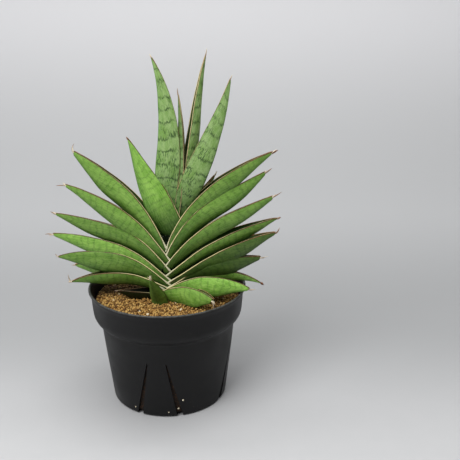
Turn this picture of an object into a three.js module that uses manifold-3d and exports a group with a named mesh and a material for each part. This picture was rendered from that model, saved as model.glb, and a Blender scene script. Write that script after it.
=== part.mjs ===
// A potted snake plant of the boat-leaved, two-ranked kind, in millimetres, +Z up.
// The origin is on the pot's axis at its base. The fan of leaves lies along X and its front faces -Y.

import * as THREE from 'three';
import { mergeVertices } from 'three/addons/utils/BufferGeometryUtils.js';
import Module from 'manifold-3d';

const wasm = await Module();
wasm.setup();

// Driving dimensions of the pot
const POT_HEIGHT = 90;
const RIM_RADIUS = 60;
const LIP_UNDER_RADIUS = 58;
const BAND_BOTTOM = 69;
const BAND_RADIUS = 57;
const STEP_BOTTOM = 59;
const BODY_TOP_RADIUS = 51;
const BASE_RADIUS = 44.5;
const BASE_CORNER = 2.5;
const LIP_HEIGHT = 6;
const LIP_CORNER = 0.8;
const WALL = 1.6;
const FLOOR = 2;
const POT_SEGMENTS = 44;

// The slits come in pairs that lean towards each other, one pair to each quarter of the pot
const SLIT_PAIRS = 4;
const SLIT_FIRST_PAIR = -6;
const SLIT_TOP_ANGLE = 8;
const SLIT_FOOT_ANGLE = 20.5;
const SLIT_TOP = 44;
const SLIT_FOOT = -1;
const SLIT_REACH = 24;
const SLIT_FOOT_WIDTH = 3.4;
const SLIT_TOP_WIDTH = 0.8;

// Soil and stem
const SOIL_LEVEL = 81;
const SOIL_DOME = 1;
const GAP = 0.3;
const SLIVER = 0.08;
const STEM_FOOT = 66;
const STEM_NECK = 98;
const STEM_SHOULDER = 116;
const STEM_TOP = 128;
const STEM_FOOT_RADIUS = 10;
const STEM_COLLAR_RADIUS = 12;
const STEM_NECK_RADIUS = 9;
const STEM_SHOULDER_RADIUS = 5.5;
const STEM_TOP_RADIUS = 3;
const STEM_SEGMENTS = 20;

// Leaf walls: the margins are thin, the keel is thick, and the channel closes before the tip
const MARGIN_THICKNESS = 1.4;
const MARGIN_SHARE = 0.45;
const KEEL_SHARE = 0.36;
const FOLD_SHARPNESS = 1.6;
const TIP_RADIUS = 0.7;
const CHANNEL_FADES = 0.45;
const CHANNEL_ENDS = 0.95;
const ROLL_REACH = 0.5;
const HANDLE_SHARE = 0.36;
const CLASP_END = 0.06;
const WAIST = 0.4;
const TIP_SLENDERNESS = 0.8;
const SHEATH_LENGTH = 12;
const SHEATH_TAPER = 0.45;
const STATIONS = [-1, -0.5, 0, 0.1, 0.2, 0.3, 0.42, 0.55, 0.67, 0.78, 0.88, 0.95, 1];
const ACROSS_STEPS = 6;

const LEFT = -1;
const RIGHT = 1;
const UP = new THREE.Vector3(0, 0, 1);

// The leaves, from the youngest to the oldest.
// turn: degrees that the leaf swings out of the fan towards the front
// start, tip: [x, z] of the channel's middle line where the margins part from the zipper, and at the tip
// launch, finish: rise of that line in degrees, measured outwards, at its start and at its tip
// width, depth: the channel's half width, and the drop from margin to keel, at mid leaf and at the base
// roll: degrees that the front margin is lifted; taper: share of the length that narrows to the tip
const LEAVES = [
  { name: 'leaf_upright_2', side: LEFT, turn: -6, start: [8, 128], tip: [11, 238], launch: 100, finish: 80,
    width: [5, 6], depth: [6, 4], roll: 0, taper: 0.6 },
  { name: 'leaf_upright_3', side: RIGHT, turn: -5, start: [6, 128], tip: [32, 265], launch: 80, finish: 73,
    width: [5, 6], depth: [9, 6], roll: -14, taper: 0.6 },
  { name: 'leaf_upright_1', side: LEFT, turn: 3, start: [3, 126], tip: [-8, 262], launch: 97, finish: 59,
    width: [7, 8], depth: [16, 5], roll: 25, taper: 0.65 },
  { name: 'leaf_upright_4', side: RIGHT, turn: 2, start: [-1, 126], tip: [49, 248], launch: 79, finish: 70,
    width: [6, 8], depth: [15.5, 10], roll: 20, taper: 0.6 },
  { name: 'leaf_left_0', side: LEFT, turn: 2, start: [17, 135], tip: [-26, 204], launch: 56, finish: 58,
    width: [9, 10], depth: [20.5, 17], roll: 25, taper: 0.9 },
  { name: 'leaf_right_0', side: RIGHT, turn: -22, start: [4, 130], tip: [38, 174], launch: 66, finish: 50,
    width: [4.5, 6], depth: [7, 5], roll: 0, taper: 0.5 },
  { name: 'leaf_right_1', side: RIGHT, turn: 3, start: [1, 121], tip: [82, 195], launch: 73, finish: 20,
    width: [8.5, 12.4], depth: [13, 10.5], roll: 0, taper: 0.45 },
  { name: 'leaf_left_1', side: LEFT, turn: -3, start: [2, 123], tip: [-70, 195], launch: 66, finish: 28,
    width: [9.5, 12.8], depth: [14.5, 11], roll: 12, taper: 0.45 },
  { name: 'leaf_right_2', side: RIGHT, turn: -1, start: [0, 117], tip: [78, 180], launch: 65, finish: 27,
    width: [9, 13.2], depth: [13, 10.5], roll: 12, taper: 0.45 },
  { name: 'leaf_left_2', side: LEFT, turn: 3, start: [3, 114], tip: [-77, 171], launch: 54, finish: 16,
    width: [9, 13.6], depth: [13.5, 10.5], roll: 15, taper: 0.6 },
  { name: 'leaf_right_3', side: RIGHT, turn: 2, start: [0, 109], tip: [85, 163], launch: 52, finish: 22,
    width: [9, 13.8], depth: [11, 10], roll: 12, taper: 0.45 },
  { name: 'leaf_left_3', side: LEFT, turn: -2, start: [4, 106], tip: [-86, 146], launch: 51, finish: 7,
    width: [9, 14], depth: [12, 10.5], roll: 18, taper: 0.45 },
  { name: 'leaf_right_4', side: RIGHT, turn: -2, start: [0, 102], tip: [86, 142], launch: 39, finish: 10,
    width: [8.5, 14.2], depth: [11.5, 10], roll: 0, taper: 0.45 },
  { name: 'leaf_left_4', side: LEFT, turn: 1, start: [4, 98], tip: [-89, 131], launch: 40, finish: 0,
    width: [9, 14.4], depth: [12, 10.5], roll: 20, taper: 0.45 },
  { name: 'leaf_right_5', side: RIGHT, turn: 2, start: [1, 96], tip: [86, 133], launch: 31, finish: 7,
    width: [9, 14.6], depth: [13, 10], roll: 0, taper: 0.45 },
  { name: 'leaf_left_5', side: LEFT, turn: 1, start: [3, 95], tip: [-84, 112], launch: 38, finish: -18,
    width: [10, 14.8], depth: [15, 10.5], roll: 22, taper: 0.45 },
  { name: 'leaf_right_6', side: RIGHT, turn: -1, start: [0, 92], tip: [76, 111], launch: 28, finish: -10,
    width: [9.5, 15], depth: [13, 9.5], roll: 10, taper: 0.45 },
  { name: 'leaf_left_6', side: LEFT, turn: 6, start: [3, 91], tip: [-74, 94], launch: 26, finish: -24,
    width: [9, 15.2], depth: [10, 9.5], roll: 10, taper: 0.45 },
  { name: 'leaf_right_7', side: RIGHT, turn: -4, start: [-3, 88], tip: [74, 87], launch: 31, finish: -40,
    width: [9, 15.4], depth: [9, 10], roll: 14, taper: 0.6 },
  { name: 'leaf_right_8', side: RIGHT, turn: 18, start: [-2, 88], tip: [66, 93], launch: 22, finish: -26,
    width: [9, 16], depth: [13.5, 11], roll: 28, taper: 0.45 },
  { name: 'leaf_back_left', side: LEFT, turn: -14, start: [2, 92], tip: [-77, 98], launch: 36, finish: -16,
    width: [8, 15.6], depth: [16, 10.5], roll: 0, taper: 0.45 },
  { name: 'leaf_right_9', side: RIGHT, turn: 44, start: [-1, 86], tip: [39.5, 89.5], launch: 14, finish: -34,
    width: [7, 16.4], depth: [12.5, 10.5], roll: 22, taper: 0.45 },
  { name: 'leaf_left_7', side: LEFT, turn: 20, start: [2, 84], tip: [-38, 90], launch: 4, finish: 5,
    width: [6, 14], depth: [8, 9], roll: 0, taper: 0.5 },
  { name: 'leaf_front', side: LEFT, turn: 72, start: [-4, 74], tip: [-10, 107.5], launch: 80, finish: 50,
    width: [6.5, 7], depth: [6, 7], roll: 0, taper: 0.6 },
];

const radians = THREE.MathUtils.degToRad;
const smooth = (value) => THREE.MathUtils.smoothstep(value, 0, 1);

// Closed solids: a geometry whose positions are merged can be joined and cut
function toSolid(geometry) {
  geometry.deleteAttribute('normal');
  geometry.deleteAttribute('uv');
  const merged = mergeVertices(geometry, 1e-4);
  const positions = new Float32Array(merged.attributes.position.array);
  const triangles = new Uint32Array(merged.index.array);
  return new wasm.Manifold(new wasm.Mesh({ numProp: 3, vertProperties: positions, triVerts: triangles }));
}

function toGeometry(solid) {
  const mesh = solid.getMesh();
  const geometry = new THREE.BufferGeometry();
  geometry.setAttribute('position', new THREE.BufferAttribute(mesh.vertProperties, 3));
  geometry.setIndex(new THREE.BufferAttribute(mesh.triVerts, 1));
  geometry.computeVertexNormals();
  return geometry;
}

// The largest body of a cut solid, without the slivers that a cut can leave
function largest(solid) {
  const bodies = solid.simplify(SLIVER).decompose();
  return bodies.reduce((best, body) => (body.volume() > best.volume() ? body : best));
}

function latheSolid(profile, segments) {
  const points = profile.map(([radius, height]) => new THREE.Vector2(radius, height));
  const geometry = new THREE.LatheGeometry(points, segments);
  geometry.rotateX(Math.PI / 2);
  return toSolid(geometry);
}

// Pot: a thin wall with a flared lip, a rim band, a step under the band and a tapered body
function potProfile() {
  return [
    [0, 0],
    [BASE_RADIUS - BASE_CORNER, 0],
    [BASE_RADIUS, BASE_CORNER],
    [BODY_TOP_RADIUS, STEP_BOTTOM],
    [BAND_RADIUS, BAND_BOTTOM],
    [LIP_UNDER_RADIUS, POT_HEIGHT - LIP_HEIGHT],
    [RIM_RADIUS, POT_HEIGHT - LIP_CORNER],
    [RIM_RADIUS - LIP_CORNER, POT_HEIGHT],
    [LIP_UNDER_RADIUS - WALL, POT_HEIGHT],
    [BAND_RADIUS - WALL, BAND_BOTTOM + 1],
    [BODY_TOP_RADIUS - WALL, STEP_BOTTOM],
    [BASE_RADIUS - WALL - 1, FLOOR],
    [0, FLOOR],
  ];
}

// One slit cutter: a leaning slot that widens to its foot and goes through the wall and the base's corner
function slitCutter(side) {
  const lean = BASE_RADIUS * Math.sin(radians(SLIT_FOOT_ANGLE - SLIT_TOP_ANGLE)) * side;
  const outline = new THREE.Shape([
    new THREE.Vector2(lean - SLIT_FOOT_WIDTH / 2, SLIT_FOOT),
    new THREE.Vector2(lean + SLIT_FOOT_WIDTH / 2, SLIT_FOOT),
    new THREE.Vector2(SLIT_TOP_WIDTH / 2, SLIT_TOP),
    new THREE.Vector2(-SLIT_TOP_WIDTH / 2, SLIT_TOP),
  ]);
  const geometry = new THREE.ExtrudeGeometry(outline, { depth: SLIT_REACH, bevelEnabled: false });
  geometry.rotateX(Math.PI / 2);
  geometry.translate(0, SLIT_REACH - RIM_RADIUS, 0);
  return geometry;
}

function makePot() {
  let pot = latheSolid(potProfile(), POT_SEGMENTS);
  for (let pair = 0; pair < SLIT_PAIRS; pair += 1) {
    for (const side of [LEFT, RIGHT]) {
      const angle = SLIT_FIRST_PAIR + (360 / SLIT_PAIRS) * pair + SLIT_TOP_ANGLE * side;
      const geometry = slitCutter(side);
      geometry.rotateZ(radians(angle));
      pot = pot.subtract(toSolid(geometry));
    }
  }
  return pot;
}

// Stem: a short tapered core that the leaf bases clasp
function makeStem(grow) {
  return latheSolid([
    [0, STEM_FOOT - grow],
    [STEM_FOOT_RADIUS + grow, STEM_FOOT - grow],
    [STEM_COLLAR_RADIUS + grow, SOIL_LEVEL],
    [STEM_NECK_RADIUS + grow, STEM_NECK],
    [STEM_SHOULDER_RADIUS + grow, STEM_SHOULDER],
    [STEM_TOP_RADIUS + grow, STEM_TOP + grow],
    [0, STEM_TOP + grow],
  ], STEM_SEGMENTS);
}

// Middle line of a leaf's channel in its own upright plane, as [outwards, up], with its rise.
// Below the zipper (negative place) the line turns upright and becomes the hidden sheath.
function midLine(leaf, place) {
  const launch = radians(leaf.launch);
  const finish = radians(leaf.finish);
  const reach = Math.cos(radians(leaf.turn));
  const start = new THREE.Vector2((leaf.start[0] * leaf.side) / reach, leaf.start[1]);
  const tip = new THREE.Vector2((leaf.tip[0] * leaf.side) / reach, leaf.tip[1]);
  const handle = start.distanceTo(tip) * HANDLE_SHARE;
  if (place < 0) {
    const rise = THREE.MathUtils.lerp(launch, Math.PI / 2, smooth(-place));
    const mean = (launch + rise) / 2;
    const along = new THREE.Vector2(Math.cos(mean), Math.sin(mean));
    return { point: start.addScaledVector(along, place * SHEATH_LENGTH), rise };
  }
  const curve = new THREE.CubicBezierCurve(
    start,
    start.clone().add(new THREE.Vector2(Math.cos(launch), Math.sin(launch)).multiplyScalar(handle)),
    tip.clone().sub(new THREE.Vector2(Math.cos(finish), Math.sin(finish)).multiplyScalar(handle)),
    tip,
  );
  return { point: curve.getPoint(place), rise: curve.getTangent(place).angle() };
}

// Half width and depth of the channel at a place along the leaf
function sectionSize(leaf, place) {
  const [middleHalf, baseHalf] = leaf.width;
  const [middleDepth, baseDepth] = leaf.depth;
  if (place < 0) {
    const share = 1 + place * SHEATH_TAPER;
    return { half: baseHalf * share, depth: baseDepth * share };
  }
  const left = 1 - place;
  const narrowing = Math.min(left / leaf.taper, 1);
  const depth = left < leaf.taper
    ? middleDepth * Math.sin((Math.PI / 2) * narrowing)
    : THREE.MathUtils.lerp(baseDepth, middleDepth, smooth(place / (1 - leaf.taper)));
  const half = place < WAIST
    ? THREE.MathUtils.lerp(baseHalf, middleHalf, smooth((place - CLASP_END) / (WAIST - CLASP_END)))
    : middleHalf * (left / (1 - WAIST)) ** TIP_SLENDERNESS;
  return { half: Math.max(half, TIP_RADIUS), depth: Math.max(depth, TIP_RADIUS) };
}

function blend(first, share, second, rest) {
  return first.clone().multiplyScalar(share).addScaledVector(second, rest);
}

// Directions at a place on a leaf: along it, towards its front margin and into its channel
function leafDirections(leaf, place, rise) {
  const turn = radians(leaf.turn);
  const roll = radians(leaf.roll) * smooth(place / ROLL_REACH);
  const outwards = new THREE.Vector3(leaf.side * Math.cos(turn), -Math.sin(turn), 0);
  const front = new THREE.Vector3(-leaf.side * Math.sin(turn), -Math.cos(turn), 0);
  const inwards = blend(outwards, -Math.sin(rise), UP, Math.cos(rise));
  return {
    outwards,
    along: blend(outwards, Math.cos(rise), UP, Math.sin(rise)),
    margin: blend(front, Math.cos(roll), inwards, Math.sin(roll)),
    channel: blend(inwards, Math.cos(roll), front, -Math.sin(roll)),
  };
}

// Half width and depth of one skin of the leaf: the outer one, or the channel's
function skinSize(leaf, place, isChannel, grow) {
  const { half, depth } = sectionSize(leaf, place);
  if (!isChannel) {
    return { half: half + grow, depth: depth + grow };
  }
  const margin = Math.min(MARGIN_THICKNESS, half * MARGIN_SHARE);
  const fading = THREE.MathUtils.smoothstep(place, CHANNEL_FADES, CHANNEL_ENDS);
  const keel = THREE.MathUtils.lerp(KEEL_SHARE, 1, fading);
  return { half: half - margin, depth: depth * (1 - keel) };
}

// A leaf is a box bent into a folded boat. Its width runs round the keel from margin to margin,
// its height goes from the outer skin to the channel, and its length follows the middle line.
// The room that a leaf takes up is the same box, grown on all sides, with the channel closed flat.
function leafSolid(leaf, isRoom) {
  const grow = isRoom ? GAP : 0;
  const steps = STATIONS.length - 1;
  const geometry = new THREE.BoxGeometry(2, 1, steps, ACROSS_STEPS, 1, steps);
  const position = geometry.attributes.position;
  for (let index = 0; index < position.count; index += 1) {
    const place = STATIONS[Math.round(position.getZ(index) + steps / 2)];
    const isChannel = position.getY(index) > 0;
    const isLid = isChannel && isRoom;
    const round = (Math.PI / 2) * position.getX(index) * -leaf.side;
    const sine = Math.sin(round);
    const cosine = Math.max(Math.cos(round), 0);
    const { point, rise } = midLine(leaf, place);
    const { half, depth } = skinSize(leaf, place, isChannel && !isLid, grow);
    const { outwards, along, margin, channel } = leafDirections(leaf, place, rise);
    const across = half * Math.sign(sine) * Math.abs(sine) ** (2 / FOLD_SHARPNESS);
    const down = isLid ? -grow : depth * cosine ** (2 / FOLD_SHARPNESS);
    const stretch = Math.abs(place) === 1 ? grow * place : 0;
    const spot = blend(outwards, point.x, UP, point.y);
    spot.addScaledVector(margin, across).addScaledVector(channel, -down).addScaledVector(along, stretch);
    position.setXYZ(index, spot.x, spot.y, spot.z);
  }
  return toSolid(geometry);
}

// Soil: a bed that fills the pot with a small gap to its wall, and domes slightly
function makeSoil() {
  const inside = GAP + WALL;
  return latheSolid([
    [0, FLOOR + GAP],
    [BASE_RADIUS - inside - 1, FLOOR + GAP],
    [BODY_TOP_RADIUS - inside, STEP_BOTTOM],
    [BAND_RADIUS - inside, BAND_BOTTOM + 1],
    [BAND_RADIUS - inside + 0.5, SOIL_LEVEL - SOIL_DOME],
    [0, SOIL_LEVEL + SOIL_DOME],
  ], POT_SEGMENTS);
}

const MATERIALS = {
  pot: { color: 0x232424, roughness: 0.55, metalness: 0 },
  soil: { color: 0xb9874a, roughness: 0.95, metalness: 0 },
  stem: { color: 0xc9c39a, roughness: 0.7, metalness: 0 },
  leaf: { color: 0x5d9440, roughness: 0.5, metalness: 0 },
  youngLeaf: { color: 0x86a972, roughness: 0.5, metalness: 0 },
};

const plant = new THREE.Group();

function addPiece(name, solid, material) {
  const mesh = new THREE.Mesh(toGeometry(solid), new THREE.MeshStandardMaterial(material));
  mesh.name = name;
  plant.add(mesh);
}

// Each leaf leaves room for the stem and for the younger leaves that it wraps round
let taken = makeStem(GAP);
for (const leaf of LEAVES) {
  const body = largest(leafSolid(leaf, false).subtract(taken));
  const material = leaf.name.includes('upright') ? MATERIALS.youngLeaf : MATERIALS.leaf;
  addPiece(leaf.name, body, material);
  taken = taken.add(leafSolid(leaf, true));
}

addPiece('crown_stem', makeStem(0), MATERIALS.stem);
addPiece('soil', largest(makeSoil().subtract(taken)), MATERIALS.soil);
addPiece('pot', makePot(), MATERIALS.pot);

export default plant;
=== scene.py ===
import math

import bmesh
import bpy
import numpy as np
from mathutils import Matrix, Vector


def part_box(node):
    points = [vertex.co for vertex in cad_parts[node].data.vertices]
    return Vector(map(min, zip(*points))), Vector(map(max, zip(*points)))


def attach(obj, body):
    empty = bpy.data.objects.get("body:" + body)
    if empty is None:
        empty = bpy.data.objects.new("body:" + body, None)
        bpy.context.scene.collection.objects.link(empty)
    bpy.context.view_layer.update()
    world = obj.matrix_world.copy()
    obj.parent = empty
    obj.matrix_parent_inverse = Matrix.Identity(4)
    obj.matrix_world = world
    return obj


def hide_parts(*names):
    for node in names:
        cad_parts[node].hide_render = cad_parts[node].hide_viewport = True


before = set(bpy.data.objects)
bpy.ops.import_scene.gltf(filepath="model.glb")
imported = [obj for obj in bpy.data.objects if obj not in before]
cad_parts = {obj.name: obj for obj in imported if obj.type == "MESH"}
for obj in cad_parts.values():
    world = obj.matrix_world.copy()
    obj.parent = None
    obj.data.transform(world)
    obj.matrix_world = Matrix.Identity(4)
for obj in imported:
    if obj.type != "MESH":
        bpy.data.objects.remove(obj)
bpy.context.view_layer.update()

MM = 0.001
LEFT = -1
RIGHT = 1

# Camera: spot in metres, pitch in degrees below level, lens and sensor in millimetres
CAMERA_SPOT = (0.048, -0.509, 0.302)
CAMERA_PITCH = 18.35
CAMERA_LENS = 56
SENSOR = 36

# Soft lights: name, spot, aim and size in metres, and power in watts
LIGHTS = [
    ("key", (-0.5, -0.75, 1.05), (0, 0, 0.12), (0.8, 0.7), 11.5),
    ("overhead", (0.1, -0.25, 1.3), (0, -0.05, 0.1), (1.3, 0.9), 10),
    ("left_sheen", (-1.3, -0.2, 0.5), (0, 0, 0.12), (0.5, 0.9), 2),
    ("wall_wash", (0, 0.5, 1.7), (0, 1.1, 0.55), (2.4, 0.5), 13),
]
AMBIENT_TINT = (0.95, 0.97, 1, 1)
AMBIENT_STRENGTH = 0.06

# Backdrop, in metres: the distance to its wall, the bend before it, and how far it reaches
WALL_DISTANCE = 1.1
BEND_RADIUS = 0.7
FLOOR_FRONT = -2.5
BACKDROP_HALF_WIDTH = 3
BACKDROP_HEIGHT = 3

# Colours, as they show on a screen, 0 to 255
PALETTE = {
    "young_light": (172, 204, 134), "young_full": (126, 168, 82), "young_deep": (62, 120, 32),
    "young_band": (18, 60, 24), "grown_light": (134, 178, 76), "grown_full": (96, 144, 46),
    "grown_deep": (38, 88, 18), "grown_band": (26, 72, 16), "grain": (176, 206, 120),
    # The channel and sheath colours are painted shade, inside the fold and over the hidden base
    "channel": (22, 52, 12), "sheath": (12, 26, 8), "browned_end": (84, 62, 32),
    "margin_dark": (50, 28, 14), "margin_brown": (94, 56, 27), "cream_base": (220, 220, 186),
    "cream": (220, 208, 152), "aged_cream": (132, 84, 48), "dried_dark": (72, 38, 20),
    "dried": (136, 78, 40), "papery": (246, 232, 204), "pot_dark": (8, 8, 9), "pot_black": (13, 13, 14),
    # The light rim colour is a painted highlight on the lip
    "dust": (92, 84, 70), "painted_rim_highlight": (80, 80, 78), "clay_dark": (98, 68, 32), "clay": (168, 126, 62),
    # The bed side colour is painted shade inside the pot
    "clay_light": (204, 166, 96), "white_grain": (248, 238, 208), "painted_bed_shade": (6, 6, 5),
    # The darkened clay colour is painted shadow under the fan
    "clay_blotch": (110, 70, 34), "soil_shadow": (44, 28, 16), "clay_pit": (70, 44, 22),
    "stem_dark": (168, 160, 112), "stem_pale": (204, 198, 152), "stem_green": (112, 132, 66),
    # The greyer floor paper is painted shade, and the lighter wall paper is painted light
    "stem_top": (24, 40, 14), "paper_dark": (189, 190, 191), "paper": (193, 193, 194),
    "paper_shade": (160, 161, 162), "paper_bend": (194, 195, 196), "paper_lit": (214, 214, 216),
}

# Leaves, in millimetres and degrees, with nearly the same middle lines and sections as the solids. Each one
# stands in an upright plane, turned out of the fan's. Start and tip are given as X and height, and the leaf
# sets off at the launch slope and ends at the finish slope. Width, from the middle to a margin, and depth are
# given for the leaf's middle and then for its base. Roll tips the channel to the front, taper is the share of
# the length over which the depth runs out, and sheath is how far the base reaches below the start, where it
# isn't the usual length
LEAVES = [
    dict(name="leaf_upright_2", side=LEFT, turn=-6, start=(8, 128), tip=(11, 238), launch=100, finish=80,
         width=(5, 6), depth=(6, 4), roll=0, taper=0.6),
    dict(name="leaf_upright_3", side=RIGHT, turn=-5, start=(6, 128), tip=(32, 265), launch=80, finish=73,
         width=(5, 6), depth=(9, 6), roll=-14, taper=0.6),
    dict(name="leaf_upright_1", side=LEFT, turn=3, start=(3, 126), tip=(-8, 262), launch=97, finish=59,
         width=(7, 5), depth=(16, 5), roll=25, taper=0.65),
    dict(name="leaf_upright_4", side=RIGHT, turn=2, start=(-1, 126), tip=(49, 248), launch=79, finish=70,
         width=(6, 3.5), depth=(15.5, 10), roll=20, taper=0.6),
    dict(name="leaf_left_0", side=LEFT, turn=2, start=(17, 135), tip=(-26, 204), launch=56, finish=58,
         width=(9, 8.8), depth=(20.5, 17), roll=25, taper=0.9, sheath=0.5),
    dict(name="leaf_right_0", side=RIGHT, turn=-22, start=(4, 130), tip=(38, 174), launch=66, finish=50,
         width=(4.5, 6), depth=(7, 5), roll=0, taper=0.5),
    dict(name="leaf_right_1", side=RIGHT, turn=3, start=(1, 121), tip=(82, 195), launch=73, finish=20,
         width=(8.5, 12.4), depth=(13, 10.5), roll=0, taper=0.45),
    dict(name="leaf_left_1", side=LEFT, turn=-3, start=(2, 123), tip=(-70, 195), launch=66, finish=28,
         width=(9.5, 12.8), depth=(14.5, 11), roll=12, taper=0.45),
    dict(name="leaf_right_2", side=RIGHT, turn=-1, start=(0, 117), tip=(78, 180), launch=65, finish=27,
         width=(9, 13.2), depth=(13, 10.5), roll=12, taper=0.45),
    dict(name="leaf_left_2", side=LEFT, turn=3, start=(3, 114), tip=(-77, 171), launch=54, finish=16,
         width=(9, 13.6), depth=(13.5, 10.5), roll=15, taper=0.6),
    dict(name="leaf_right_3", side=RIGHT, turn=2, start=(0, 109), tip=(85, 163), launch=52, finish=22,
         width=(9, 13.8), depth=(11, 10), roll=12, taper=0.45),
    dict(name="leaf_left_3", side=LEFT, turn=-2, start=(4, 106), tip=(-86, 146), launch=51, finish=7,
         width=(9, 14), depth=(12, 10.5), roll=18, taper=0.45),
    dict(name="leaf_right_4", side=RIGHT, turn=-2, start=(0, 102), tip=(86, 142), launch=39, finish=10,
         width=(8.5, 14.2), depth=(11.5, 10), roll=0, taper=0.45),
    dict(name="leaf_left_4", side=LEFT, turn=1, start=(4, 98), tip=(-89, 131), launch=40, finish=0,
         width=(9, 14.4), depth=(12, 10.5), roll=20, taper=0.45),
    dict(name="leaf_right_5", side=RIGHT, turn=2, start=(1, 96), tip=(86, 133), launch=31, finish=7,
         width=(9, 14.6), depth=(13, 10), roll=0, taper=0.45),
    dict(name="leaf_left_5", side=LEFT, turn=1, start=(3, 95), tip=(-84, 112), launch=38, finish=-18,
         width=(10, 14.8), depth=(15, 10.5), roll=22, taper=0.45),
    dict(name="leaf_right_6", side=RIGHT, turn=-1, start=(0, 92), tip=(76, 111), launch=28, finish=-10,
         width=(9.5, 15), depth=(13, 9.5), roll=10, taper=0.45),
    dict(name="leaf_left_6", side=LEFT, turn=6, start=(3, 91), tip=(-74, 94), launch=26, finish=-24,
         width=(9, 15.2), depth=(10, 9.5), roll=10, taper=0.45),
    dict(name="leaf_right_7", side=RIGHT, turn=-4, start=(-3, 88), tip=(74, 87), launch=31, finish=-40,
         width=(9, 15.4), depth=(9, 10), roll=14, taper=0.6),
    dict(name="leaf_right_8", side=RIGHT, turn=18, start=(-2, 88), tip=(66, 93), launch=22, finish=-26,
         width=(9, 16), depth=(13.5, 11), roll=28, taper=0.45),
    dict(name="leaf_back_left", side=LEFT, turn=-14, start=(2, 92), tip=(-77, 98), launch=36, finish=-16,
         width=(8, 15.6), depth=(16, 10.5), roll=0, taper=0.45),
    dict(name="leaf_right_9", side=RIGHT, turn=44, start=(-1, 86), tip=(39.5, 89.5), launch=14, finish=-34,
         width=(7, 16.4), depth=(13.5, 12.5), roll=22, taper=0.45),
    dict(name="leaf_left_7", side=LEFT, turn=20, start=(2, 84), tip=(-38, 90), launch=4, finish=5,
         width=(6, 14), depth=(8, 9), roll=0, taper=0.5),
    dict(name="leaf_front", side=LEFT, turn=72, start=(-4, 74), tip=(-10, 107.5), launch=80, finish=50,
         width=(6.5, 7), depth=(6, 7), roll=0, taper=0.6),
]

# Dried ends: strands that carry on from where the green stops, each as length, rise, curl, width, flat and
# cream. Length and width are in millimetres, rise and curl in degrees from the leaf's own direction, flat is
# the thickness against the width, and cream goes from 0 (brown) to 1 (papery), at the strand's start and end
TIPS = {
    "leaf_upright_1": [(2.0, 10, 0, 1.2, 0.5, (0.6, 1))],
    "leaf_upright_2": [(4.0, 0, 10, 0.9, 0.8, (0.2, 0.4))],
    "leaf_upright_3": [(4.5, 0, 12, 1.1, 0.6, (0.2, 1))],
    "leaf_upright_4": [(3.0, 0, -6, 1.1, 0.6, (0.3, 1))],
    "leaf_left_0": [(1.5, 0, 0, 1.4, 0.8, (0, 0.2))],
    "leaf_left_1": [(4.5, 40, 25, 3.0, 0.25, (1, 0.9)), (6.5, 30, 70, 1.2, 0.7, (0.5, 0.2))],
    "leaf_left_2": [(2.5, 35, 0, 2.2, 0.35, (1, 0.8)), (6.0, -10, -15, 1.2, 0.7, (0.5, 0))],
    "leaf_left_3": [(2.2, 25, 10, 1.9, 0.4, (1, 0.7)), (3.8, 12, 15, 1.6, 0.7, (0.5, 0.1))],
    "leaf_left_4": [(3.0, -5, -20, 2.4, 0.3, (1, 0.6)), (5.5, 25, -40, 1.5, 0.7, (0.5, 0.1))],
    "leaf_left_5": [(3.0, 50, 20, 1.4, 0.6, (0.8, 0.1))],
    "leaf_left_6": [(2.4, 20, 0, 3.0, 0.4, (0.8, 0.5)), (6.0, 70, 45, 1.6, 0.5, (0.7, 0.3))],
    "leaf_left_7": [(1.5, 0, 0, 1.1, 0.7, (0.3, 0.1))],
    "leaf_right_0": [(3.0, 15, 0, 1.4, 0.6, (0.4, 0.8))],
    "leaf_right_1": [(3.4, 26, -8, 2.4, 0.25, (1, 1)), (4.2, 4, 8, 2.0, 0.7, (0, 0.1))],
    "leaf_right_2": [(1.8, 45, 0, 1.6, 0.4, (0.8, 1)), (5.5, 10, 0, 1.9, 0.6, (0.4, 0.15))],
    "leaf_right_3": [(2.6, 20, 0, 2.2, 0.4, (1, 0.6)), (7.0, 6, 8, 1.5, 0.6, (0.3, 0.2))],
    "leaf_right_4": [(2.0, 15, 5, 2.2, 0.6, (0.3, 0))],
    "leaf_right_5": [(5.0, 25, 45, 1.2, 0.8, (0.1, 0.2))],
    "leaf_right_6": [(2.5, 5, 0, 2.0, 0.5, (0.8, 0.2)), (5.5, 14, 10, 1.1, 0.5, (0.1, 0.9))],
    "leaf_right_7": [(1.5, 0, 0, 2.4, 0.8, (0, 0.1))],
    "leaf_right_8": [(4.5, 20, 20, 2.2, 0.4, (0.3, 0.9))],
    "leaf_right_9": [(2.5, 0, -10, 3.0, 0.5, (0.8, 0.5)), (4.6, -15, -50, 1.6, 0.6, (0.6, 0.4))],
    "leaf_back_left": [(3.0, 10, 0, 1.2, 0.6, (0.5, 0.2))],
    "leaf_front": [(3.2, 10, 25, 1.6, 0.5, (0.8, 1)), (2.6, 60, 0, 1.4, 0.4, (0.6, 0.4))],
}

# How light each leaf is, against the middle of the fan: partly its own tint, partly painted light where it
# catches the light and painted shade where leaves above shade it
TINT_AND_PAINTED_LIGHT = {
    "leaf_upright_1": 0.95, "leaf_upright_2": 0.65, "leaf_upright_4": 0.82,
    "leaf_left_0": 1.25, "leaf_left_3": 0.78, "leaf_left_4": 1.2, "leaf_left_5": 0.75,
    "leaf_left_6": 0.78, "leaf_left_7": 0.1, "leaf_back_left": 1.3, "leaf_front": 0.7,
    "leaf_right_0": 0.6, "leaf_right_3": 0.9, "leaf_right_4": 0.95,
    "leaf_right_5": 0.48, "leaf_right_6": 0.38, "leaf_right_7": 1.2, "leaf_right_8": 1.45,
    "leaf_right_9": 1.15,
}

# How light the base of a leaf is, against the rest of it, where the leaves around it keep the light off
BASE_LIGHT = {"leaf_left_0": 0.45, "leaf_upright_4": 0.75, "leaf_upright_1": 0.8}
BASE_LIGHT_REACH = 0.45

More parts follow.
